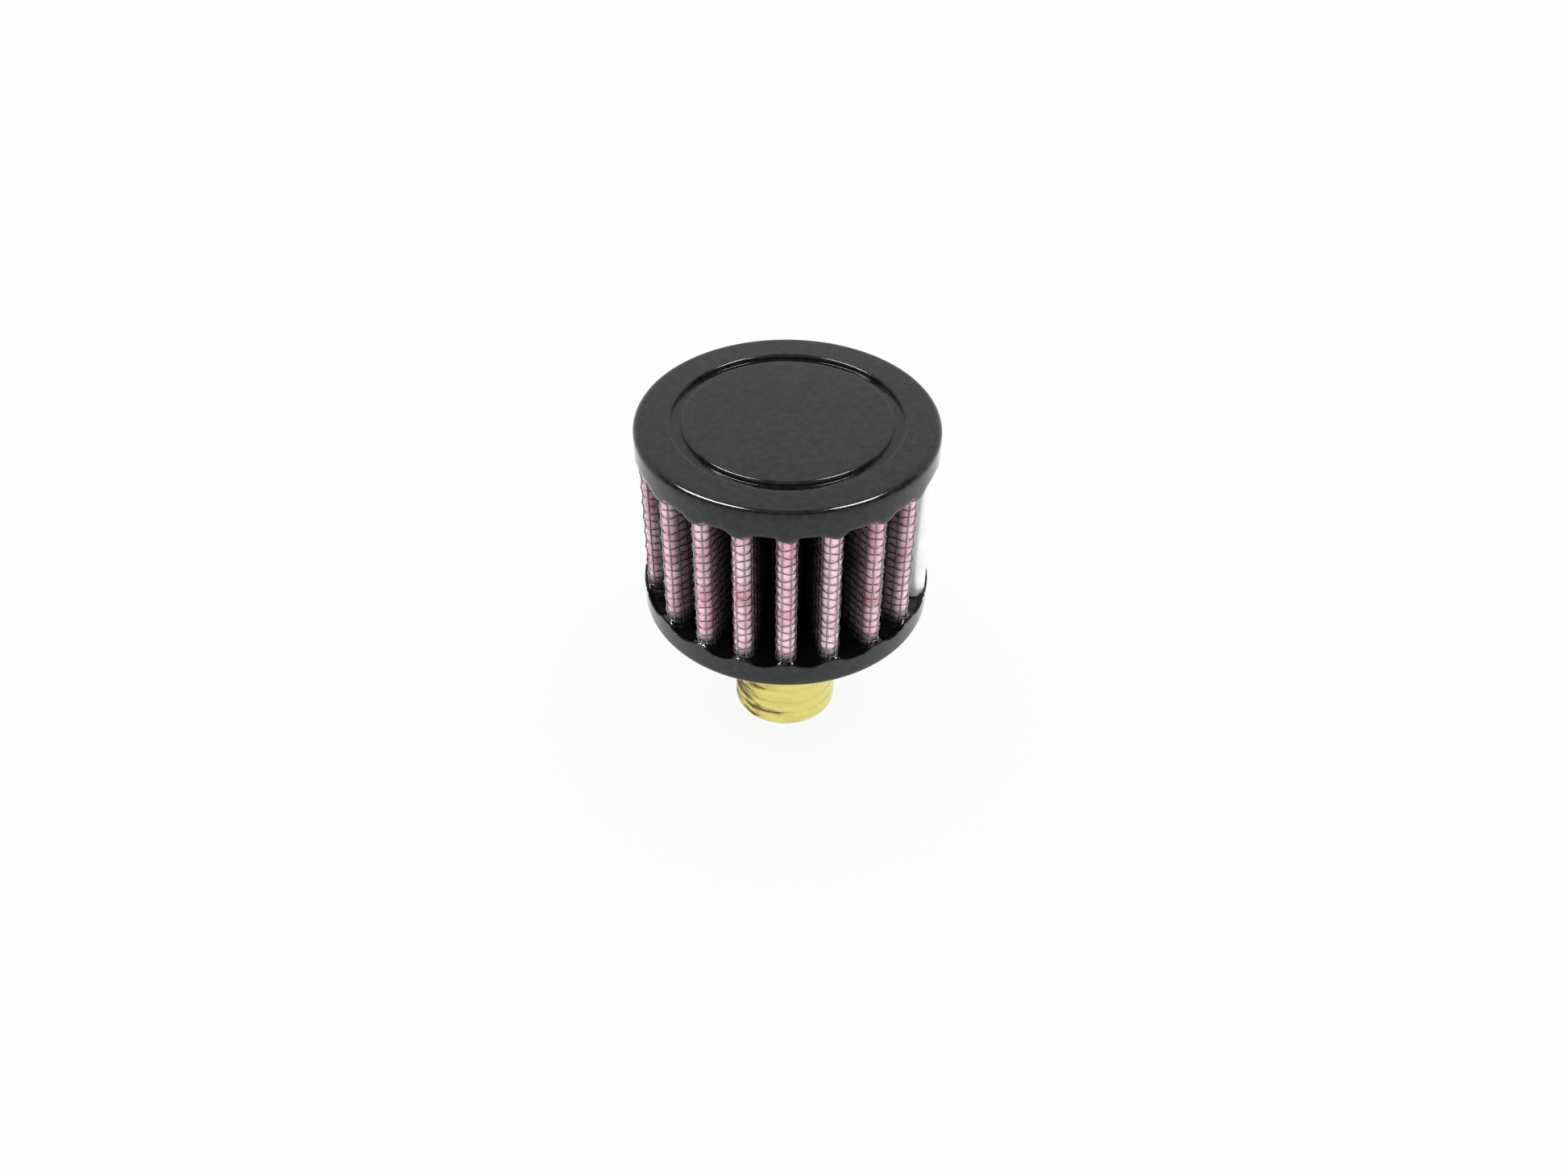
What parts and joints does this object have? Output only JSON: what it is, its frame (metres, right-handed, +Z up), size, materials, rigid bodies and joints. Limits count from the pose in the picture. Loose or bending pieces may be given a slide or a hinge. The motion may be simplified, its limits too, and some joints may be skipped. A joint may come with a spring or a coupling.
{
  "type": "crankcase breather filter",
  "caption": "Round clip-on air filter with pleated oiled gauze between wire screens, two moulded caps and a turned brass spigot for a hose.",
  "frame": {"origin": "centre of the spigot's open end, on the surface that the filter stands on", "axes": "+Z up along the spigot to the top cap, -Y to the front where a pleat stands, +X to the right towards the seam clip"},
  "size_m": [0.051, 0.051, 0.0645],
  "materials": {
    "cap_plastic": "black moulded polyurethane, satin",
    "oiled_gauze": "cotton gauze tinted by pink filter oil",
    "screen_wire": "woven wire with a dark coating",
    "clip_metal": "folded bright sheet, satin",
    "spigot_brass": "turned, lightly tarnished"
  },
  "bodies": {
    "root": {"top_cap": "cap_plastic", "base_cap": "cap_plastic", "gauze": "oiled_gauze", "outer_screen": "screen_wire", "inner_screen": "screen_wire", "seam_clip": "clip_metal", "spigot": "spigot_brass"}
  },
  "joints": []
}
